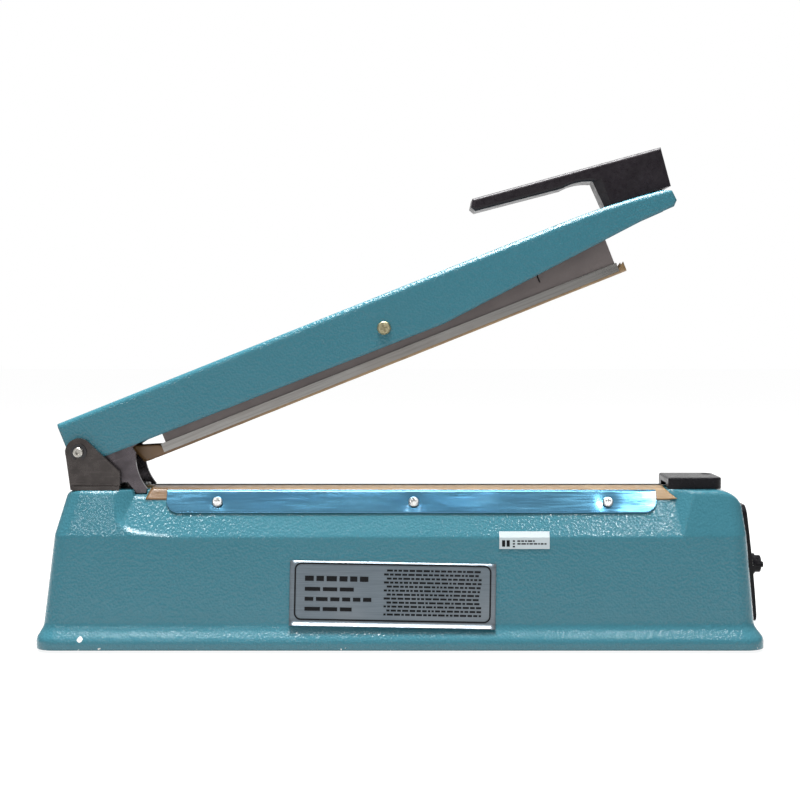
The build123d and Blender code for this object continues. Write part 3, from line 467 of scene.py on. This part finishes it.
ink_look = Look("printed_ink", (0.003, 0.0032, 0.004), 0.6, Specular_IOR_Level=0.15)
worn_black = ink_look.between(ink_look.noise(0.8 * MM), 0.4, 0.7, 0, 0.4)
ink_look.tint(worn_black, (0.008, 0.0085, 0.01))
ink_look.bump(ink_look.noise(0.4 * MM), 0.01 * MM)
white_ink_look = Look("white_ink", (0.62, 0.62, 0.6), 0.5)
worn_white = white_ink_look.between(white_ink_look.noise(0.8 * MM), 0.4, 0.7, 0, 0.4)
white_ink_look.tint(worn_white, (0.5, 0.5, 0.48))
white_ink_look.bump(white_ink_look.noise(0.4 * MM), 0.01 * MM)

# ---------------------------------------------------------------- making pieces


def new_piece(name, verts, faces, look, smooth=True):
    """A mesh object from points in the row frame."""
    mesh = bpy.data.meshes.new(name)
    mesh.from_pydata([tuple(v) for v in verts], [], faces)
    mesh.validate()
    piece = bpy.data.objects.new(name, mesh)
    bpy.context.scene.collection.objects.link(piece)
    mesh.materials.append(look.material)
    for face in mesh.polygons:
        face.use_smooth = smooth
    return piece


def grid_faces(rows, columns):
    """Faces between neighbouring points of a grid, stored row by row."""
    faces = []
    for row in range(rows - 1):
        for column in range(columns - 1):
            corner = row * columns + column
            faces.append((corner, corner + 1, corner + columns + 1, corner + columns))
    return faces


def cloth_piece(name, rows, thickness):
    """A sheet through rows of points, given its thickness on both sides."""
    columns = len(rows[0])
    points = [point for row in rows for point in row]
    piece = new_piece(name, points, grid_faces(len(rows), columns), LOOKS["ptfe_cloth"])
    solid = piece.modifiers.new("thickness", "SOLIDIFY")
    solid.thickness = thickness
    solid.offset = 0
    return piece


def even_steps(points, count):
    """Points spread evenly along a line of points."""
    lengths = [0]
    for first, second in zip(points, points[1:]):
        lengths.append(lengths[-1] + (second - first).length)
    spread = []
    segment = 0
    for step in range(count):
        target = lengths[-1] * step / (count - 1)
        while segment < len(points) - 2 and lengths[segment + 1] < target:
            segment += 1
        run = lengths[segment + 1] - lengths[segment]
        spread.append(points[segment].lerp(points[segment + 1], (target - lengths[segment]) / run))
    return spread


# ---------------------------------------------------------------- lower cloth

CLOTH_THICKNESS = 0.2 * MM
# How far down the slope the cloth reaches, in mm.
LOWER_FRONT_DROP = 7.2
# Where its ends are, first on the platform and then at the lower edge.
LOWER_LEFT = (-155.4 * MM, -158.4 * MM)
LOWER_RIGHT = (165.4 * MM, 172.4 * MM)
# The share of the half width at which the cloth folds over the platform's edge.
LOWER_FOLD = 0.68


def lower_cloth():
    """The cloth over the heating element: flat on the front half of the platform and folded down the
    front slope, where the strip holds it. Its ends flare out, and the right one lifts off the paint.

    Known fault: both halves of each row have the front half's Y, so the cloth lies double in front and
    the rear half of the platform is bare."""
    low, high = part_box("lower_cloth")
    crown = high.z - 0.12 * MM
    half_profile = [
        Vector((0, crown)),
        Vector((-7.4 * MM, crown)),
        Vector((-12 * MM, crown - 0.35 * MM)),
        Vector((-17.2 * MM, TOP_Z + 0.62 * MM)),
        Vector(on_slope(-1, 0.3, 0.35)),
        Vector(on_slope(-1, LOWER_FRONT_DROP, 0.3)),
    ]
    half = even_steps(half_profile, 26)
    rows = []
    steps = 180
    for step in range(steps + 1):
        along = step / steps
        row = []
        for side in (-1, 1):
            points = reversed(half) if side < 0 else half[1:]
            for point in points:
                share = half.index(point) / (len(half) - 1)
                drop = max(0, (share - LOWER_FOLD) / (1 - LOWER_FOLD))
                left = LOWER_LEFT[0] + (LOWER_LEFT[1] - LOWER_LEFT[0]) * drop
                right = LOWER_RIGHT[0] + (LOWER_RIGHT[1] - LOWER_RIGHT[0]) * drop**1.2
                x = left + (right - left) * along
                ripple = noise.noise(Vector((x * 55, side * point.x * 90, 3.0)))
                free = min(1, max(0, abs(point.x) / MM - 8) / 6)
                lift = 0.22 * MM * ripple * free
                at_end = max(0, (x - 160 * MM) / (12 * MM))
                lift += 1.5 * MM * at_end**2 * drop
                at_left = max(0, (-146 * MM - x) / (12 * MM))
                lift += 0.5 * MM * at_left**2 * drop
                out = drop * sin(SLOPE_ANGLE)
                row.append(Vector((x, point.x - lift * out, point.y + lift * (1 - 0.5 * drop))))
        rows.append(row)
    piece = cloth_piece("lower_cloth_sheet", rows, CLOTH_THICKNESS)
    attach(piece, "base")
    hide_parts("lower_cloth")


lower_cloth()

# ---------------------------------------------------------------- upper cloth

# Where the cloth's tails end, in mm along the arm from the hinge pivot.
UPPER_LEFT = 32.5
UPPER_RIGHT = 359.6


def upper_cloth():
    """The cloth folded round the press bar's silicone, its tails standing past both ends of the bar."""
    rows = []
    steps = 150
    for step in range(steps + 1):
        x = UPPER_LEFT + (UPPER_RIGHT - UPPER_LEFT) * step / steps
        to_left = min(1, max(0, (46.4 - x) / 14))
        to_right = min(1, max(0, (x - 355.2) / 4.4))
        unfolded = min(1, to_left * 20)
        top = -18 + 3.4 * unfolded + 6.2 * to_left + 3 * to_right
        low = -21.3
        half = 6.3 + 0.9 * unfolded - 1.2 * to_left
        lean = 1.2 * to_left
        corner = 1
        outline = [
            Vector((-half - lean, top)),
            Vector((-half, low + corner)),
            Vector((-half + 0.3 * corner, low + 0.3 * corner)),
            Vector((-half + corner, low)),
            Vector((half - corner, low)),
            Vector((half - 0.3 * corner, low + 0.3 * corner)),
            Vector((half, low + corner)),
            Vector((half + lean, top)),
        ]
        row = []
        # Underneath, the rear tail is drawn up to pass over the terminal screw's head.
        drawn_up = 3.2 * min(1, max(0, (44.5 - x) / 2.5))
        for point in even_steps(outline, 34):
            ripple = 0.08 * noise.noise(Vector((x * 0.09, point.x * 0.3, point.y * 0.3)))
            if point.y < low + 0.5:
                ripple += drawn_up * max(0, 1 - (point.x / 5.4) ** 4)
            skew = 4.5 * to_left * (low - point.y) / (low - top)
            row.append(on_arm(x - skew, point.x, point.y + ripple))
        rows.append(row)
    piece = cloth_piece("upper_cloth_sheet", rows, CLOTH_THICKNESS)
    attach(piece, "press_bar")
    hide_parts("upper_cloth")


upper_cloth()

# ---------------------------------------------------------------- clamp strips

STRIP_TOP = 1.2
STRIP_HEM = 0.55
STRIP_LENGTH = 16.4
STRIP_CORNER = 8
STRIP_THICKNESS = 0.6 * MM
# Steps of the grid along each rounded end and along the straight part between them.
END_STEPS = 12
STRAIGHT_STEPS = 220
SCREW_PLACES = (-113.4, 8.5, 129.1)
SCREW_DROP = 9.3
DIMPLE_DEPTH = 0.3
DIMPLE_RADIUS = 5


def clamp_strip(node, side):
    """A thin strip flat on the slope, rounded at its lower corners, dimpled under its screws and a
    little wavy along its free edge. Side is -1 for the front one and 1 for the rear one."""
    low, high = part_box(node)
    length = (high.x - low.x) / MM
    middle = length - 2 * STRIP_CORNER
    round_end = [STRIP_CORNER * (1 - cos(pi / 2 * step / END_STEPS)) for step in range(END_STEPS)]
    straight = [STRIP_CORNER + middle * step / STRAIGHT_STEPS for step in range(STRAIGHT_STEPS + 1)]
    places = round_end + straight + [middle + 2 * STRIP_CORNER - x for x in reversed(round_end)]
    rows = []
    for place in places:
        x = low.x + place * MM
        inset = max(0, STRIP_CORNER - min(place, places[-1] - place))
        reach = STRIP_LENGTH - STRIP_CORNER + (STRIP_CORNER**2 - inset**2) ** 0.5
        row = []
        # Only the front strip has its upper edge hemmed towards the slope.
        for turn in range(5 if side < 0 else 0):
            angle = pi / 2 * turn / 5
            y, z = on_slope(side, STRIP_TOP - STRIP_HEM * sin(angle), 0.25 + STRIP_HEM * (1 - cos(angle)))
            row.append(Vector((x, y, z)))
        row.reverse()
        for column in range(19):
            drop = STRIP_TOP + (reach - STRIP_TOP) * column / 18
            wave = 0.3 * noise.noise(Vector((x * 22, side * 2.0, drop * 0.05))) * (drop / STRIP_LENGTH)
            dimple = 0.0
            for screw_x in SCREW_PLACES:
                gap = Vector((x / MM - screw_x, drop - SCREW_DROP)).length
                dimple += DIMPLE_DEPTH * exp(-((gap / DIMPLE_RADIUS) ** 2))
            y, z = on_slope(side, drop, 0.85 + wave - dimple)
            row.append(Vector((x, y, z)))
        rows.append(row if side < 0 else row[::-1])
    columns = len(rows[0])
    points = [point for row in rows for point in row]
    piece = new_piece(f"{node}_sheet", points, grid_faces(len(rows), columns), LOOKS["blue_film"])
    solid = piece.modifiers.new("thickness", "SOLIDIFY")
    solid.thickness = STRIP_THICKNESS
    solid.offset = 0
    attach(piece, "base")
    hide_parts(node)


clamp_strip("front_clamp_strip", -1)
clamp_strip("rear_clamp_strip", 1)

# ---------------------------------------------------------------- printed plates


def bar_faces(bars):
    """Corners and faces of flat bars; each is (left, low, width, height) in mm."""
    corners, faces = [], []
    for left, low, width, height in bars:
        first = len(corners)
        corners += [(left, low), (left + width, low), (left + width, low + height), (left, low + height)]
        faces.append(tuple(range(first, first + 4)))
    return corners, faces


def round_corner_path(width, height, radius, steps=7):
    path = []
    for corner, (sx, sy) in enumerate(((1, 1), (-1, 1), (-1, -1), (1, -1))):
        for step in range(steps + 1):
            turn = (corner + step / steps) * pi / 2
            middle = Vector((sx * (width / 2 - radius), sy * (height / 2 - radius)))
            path.append(middle + Vector((cos(turn), sin(turn))) * radius)
    return path


def words(left, low, length, height, rng, word=(1.4, 4.2), gap=0.7):
    """A line of plain dashes that stands for a line of print."""
    bars = []
    x = left
    while x < left + length - word[0]:
        width = min(rng.uniform(*word), left + length - x)
        bars.append((x, low, width, height))
        x += width + gap
    return bars


PLATE_TILT = radians(-1.05)
PLATE_HALF_WIDTH = 63.3
# The foil's lower edge reaches past the flat wall, onto the fillet above the foot.
PLATE_TOP = 18.7
PLATE_CURL_START = -17.6
PLATE_LOW = -21


def on_plate(x, y, lift):
    """A point of the nameplate, x and y in mm from its middle, lift in mm off the wall."""
    low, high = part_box("nameplate")
    up = Vector((0, sin(WALL_LEAN), cos(WALL_LEAN)))
    out = Vector((0, -cos(WALL_LEAN), sin(WALL_LEAN)))
    right = Vector((cos(PLATE_TILT), 0, 0)) + up * sin(PLATE_TILT)
    above = up * cos(PLATE_TILT) - Vector((sin(PLATE_TILT), 0, 0))
    curl = max(0, PLATE_CURL_START - y) ** 2 * 0.22
    middle = (low + high) / 2
    return middle + (right * x + above * y + out * (lift + curl)) * MM


def nameplate_foil():
    """The rating plate's foil, stuck on flat and lifting along its lower edge over the fillet."""
    columns = 40
    heights = [PLATE_TOP + (PLATE_CURL_START - PLATE_TOP) * step / 12 for step in range(12)]
    heights += [PLATE_CURL_START + (PLATE_LOW - PLATE_CURL_START) * step / 8 for step in range(9)]
    rows = []
    for height in heights:
        row = []
        for column in range(columns + 1):
            x = PLATE_HALF_WIDTH * (2 * column / columns - 1)
            buckle = 0.05 * noise.noise(Vector((x * 0.06, height * 0.12, 5.0)))
            row.append(on_plate(x, height, 0.1 + buckle))
        rows.append(row)
    points = [point for row in rows for point in row]
    piece = new_piece("nameplate_sheet", points, grid_faces(len(rows), columns + 1), LOOKS["plate_foil"])
    solid = piece.modifiers.new("thickness", "SOLIDIFY")
    solid.thickness = 0.25 * MM
    solid.offset = 0
    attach(piece, "base")
    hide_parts("nameplate")


nameplate_foil()


def nameplate_print():
    """A rounded border, four bold lines on the left and a block of small lines on the right, all of
    plain dashes."""
    rng = Random(4)
    bars = []
    for line, length in enumerate((39, 33, 41, 29)):
        height = 3.2 if line == 0 else 2.4
        bars += words(-54, 6.4 - 6.1 * line, length, height, rng, (4, 10), 1.6)
    for line in range(12):
        indent = 0 if line % 2 else 1.8
        bars += words(-5.5 + indent, 13 - 2.45 * line, 60 - indent, 1.25, rng)
    corners, faces = bar_faces(bars)
    outer = round_corner_path(121, 35.4, 4.4)
    inner = round_corner_path(119, 33.4, 3.4)
    first = len(corners)
    corners += [tuple(p) for p in outer + inner]
    count = len(outer)
    for index in range(count):
        following = (index + 1) % count
        faces.append((first + index, first + following, first + count + following, first + count + index))
    verts = [on_plate(x, y, 0.35) for x, y in corners]
    piece = new_piece("nameplate_print", verts, faces, ink_look, smooth=False)
    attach(piece, "base")


nameplate_print()


# The panel's outer face in side view, in mm, and how far the print stands off it, in metres.
PANEL_LOW_X = 224.4
PANEL_LOW_Z = 8
PANEL_RISE = 86
PANEL_LEAN = 8.8
PANEL_BULGE = 3.6
PRINT_LIFT = 0.08 * MM
# The dial's ticks, in mm, and the circle that its numbers stand on, in metres.
TICK_ROOT = 8.2
TICK_HALF_WIDTH = 0.14
NUMBER_RADIUS = 12.4 * MM


def panel_dial():
    """Ticks and numbers round the timer knob, printed on the panel's curved face."""
    knob_low, knob_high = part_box("timer_knob")
    centre_y, centre_z = (knob_low.y + knob_high.y) / 2, (knob_low.z + knob_high.z) / 2

    def face_x(z):
        """Where the panel's outer face is: it leans inwards as it rises, with a slight bulge."""
        share = (z / MM - PANEL_LOW_Z) / PANEL_RISE
        bulge = PANEL_BULGE * share * (1 - share) * 0.98
        return (PANEL_LOW_X - PANEL_LEAN * share + bulge) * MM + PRINT_LIFT

    corners, faces = [], []
    for tick in range(21):
        turn = radians(230 - 14 * tick)
        long_tick = tick % 2 == 0
        tip = 10.2 if long_tick else 9.4
        for radius, side in ((TICK_ROOT, -1), (TICK_ROOT, 1), (tip, 1), (tip, -1)):
            y = radius * cos(turn) - side * TICK_HALF_WIDTH * sin(turn)
            z = radius * sin(turn) + side * TICK_HALF_WIDTH * cos(turn)
            corners.append((y, z))
        faces.append(tuple(range(len(corners) - 4, len(corners))))
    verts = [(face_x(centre_z + z * MM), centre_y + y * MM, centre_z + z * MM) for y, z in corners]
    ticks = new_piece("dial_ticks", verts, faces, white_ink_look, smooth=False)
    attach(ticks, "base")
    for number in range(0, 11, 2):
        turn = radians(230 - 28 * number)
        text = bpy.data.curves.new(f"dial_number_{number}", "FONT")
        text.body = str(number)
        text.size = 3.2 * MM
        text.align_x = "CENTER"
        text.align_y = "CENTER"
        text.extrude = 0.02 * MM
        text.resolution_u = 3
        piece = bpy.data.objects.new(f"dial_number_{number}", text)
        bpy.context.scene.collection.objects.link(piece)
        text.materials.append(white_ink_look.material)
        z = centre_z + NUMBER_RADIUS * sin(turn)
        y = centre_y + NUMBER_RADIUS * cos(turn)
        slope = (face_x(z + MM) - face_x(z)) / MM
        across, upward = Vector((0, 1, 0)), Vector((slope, 0, 1)).normalized()
        outward = across.cross(upward)
        turned = Matrix((across, upward, outward)).transposed().to_4x4()
        piece.matrix_world = Matrix.Translation((face_x(z), y, z)) @ turned
        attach(piece, "base")


panel_dial()


def label_print():
    """Plain bars on the small sticker below the fold of the recess: two blocks, three marks in a
    column and two short lines."""
    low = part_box("inspection_label")[0]
    rng = Random(9)
    bars = [(1.6, -5.6, 2, 4), (4.4, -5.6, 2, 4)]
    bars += [(8.2, height, 1.4, 0.9) for height in (-2.6, -4.3, -6)]
    for line, length in enumerate((12, 18)):
        bars += words(11, -2.6 - 1.7 * line, length, 0.9, rng, (1, 3), 0.5)
    corners, faces = bar_faces(bars)
    fold_y, fold_z = on_slope(-1, 32.27, 0)
    verts = []
    for x, y in corners:
        down = -y * MM
        verts.append((low.x + x * MM, fold_y - 0.5 * MM - down * sin(WALL_LEAN), fold_z - down))
    piece = new_piece("label_print", verts, faces, ink_look, smooth=False)
    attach(piece, "base")


label_print()

# ---------------------------------------------------------------- light, floor and camera

# Name, place, what it points at, width, height and power.
LIGHTS = (
    ("softbox_above", (-0.1, -0.05, 1.35), (0, 0, 0.1), 0.7, 0.7, 58),
    ("right_ceiling_lamp", (0.4, -0.79, 1.15), (0.1, 0, 0.1), 0.07, 0.07, 1.3),
    ("left_ceiling_lamp", (-0.42, -0.63, 1.13), (-0.1, 0, 0.05), 0.12, 0.05, 0.9),
    ("front_lamp", (-0.4, -1.15, 0.56), (-0.1, 0, 0.08), 0.5, 0.012, 0.9),
    ("high_strip_lamp", (-0.2, -0.75, 1.2), (-0.05, 0, 0.06), 0.7, 0.012, 0.45),
    ("backdrop", (0, 1.4, 0.5), (0, 0, 0.12), 2.4, 0.9, 3.5),
)
# Strength of the sky's light at the horizon and overhead.
HORIZON_LIGHT = 0.26
ZENITH_LIGHT = 0.8
FLOOR_HALF = 8


def floor_and_light():
    paper = Look("studio_floor", (0.16, 0.16, 0.16), 0.9)
    paper.tint(paper.between(paper.noise(0.4), 0.3, 0.7, 0, 0.3), (0.15, 0.15, 0.15))
    paper.shader.inputs["Emission Color"].default_value = (1, 1, 1, 1)
    paper.shader.inputs["Emission Strength"].default_value = 0.88
    size = FLOOR_HALF
    corners = [(-size, -size, 0), (size, -size, 0), (size, size, 0), (-size, size, 0)]
    floor = new_piece("studio_floor", corners, [(0, 1, 2, 3)], paper, smooth=False)
    for name, place, target, width, height, power in LIGHTS:
        light = bpy.data.lights.new(name, "AREA")
        light.shape = "RECTANGLE"
        light.size = width
        light.size_y = height
        light.energy = power
        holder = bpy.data.objects.new(name, light)
        bpy.context.scene.collection.objects.link(holder)
        holder.location = place
        holder.rotation_euler = (Vector(target) - Vector(place)).to_track_quat("-Z", "Y").to_euler()
        holder.visible_camera = False
    world = bpy.data.worlds.new("studio")
    bpy.context.scene.world = world
    world.use_nodes = True
    tree = world.node_tree
    tree.nodes.clear()
    output = tree.nodes.new("ShaderNodeOutputWorld")
    mixer = tree.nodes.new("ShaderNodeMixShader")
    seen = tree.nodes.new("ShaderNodeBackground")
    seen.inputs["Color"].default_value = (1, 1, 1, 1)
    ambient = tree.nodes.new("ShaderNodeBackground")
    rays = tree.nodes.new("ShaderNodeLightPath")
    direction = tree.nodes.new("ShaderNodeTexCoord")
    height = tree.nodes.new("ShaderNodeSeparateXYZ")
    brighter_above = tree.nodes.new("ShaderNodeMapRange")
    brighter_above.inputs["To Min"].default_value = HORIZON_LIGHT
    brighter_above.inputs["To Max"].default_value = ZENITH_LIGHT
    tree.links.new(direction.outputs["Generated"], height.inputs["Vector"])
    tree.links.new(height.outputs["Z"], brighter_above.inputs["Value"])
    tree.links.new(brighter_above.outputs["Result"], ambient.inputs["Strength"])
    tree.links.new(rays.outputs["Is Camera Ray"], mixer.inputs["Fac"])
    tree.links.new(ambient.outputs["Background"], mixer.inputs[1])
    tree.links.new(seen.outputs["Background"], mixer.inputs[2])
    tree.links.new(mixer.outputs["Shader"], output.inputs["Surface"])


floor_and_light()


def camera():
    """The operator's view: square to the long side, 0.93 m away, a little above the jaws and looking
    slightly down."""
    data = bpy.data.cameras.new("camera")
    data.sensor_width = 36
    data.lens = 65.9
    holder = bpy.data.objects.new("camera", data)
    bpy.context.scene.collection.objects.link(holder)
    holder.location = (0, -0.93, 0.1935)
    holder.rotation_euler = (radians(90 - 2.46), 0, 0)
    bpy.context.scene.camera = holder


camera()
bpy.context.scene.view_settings.view_transform = "Standard"
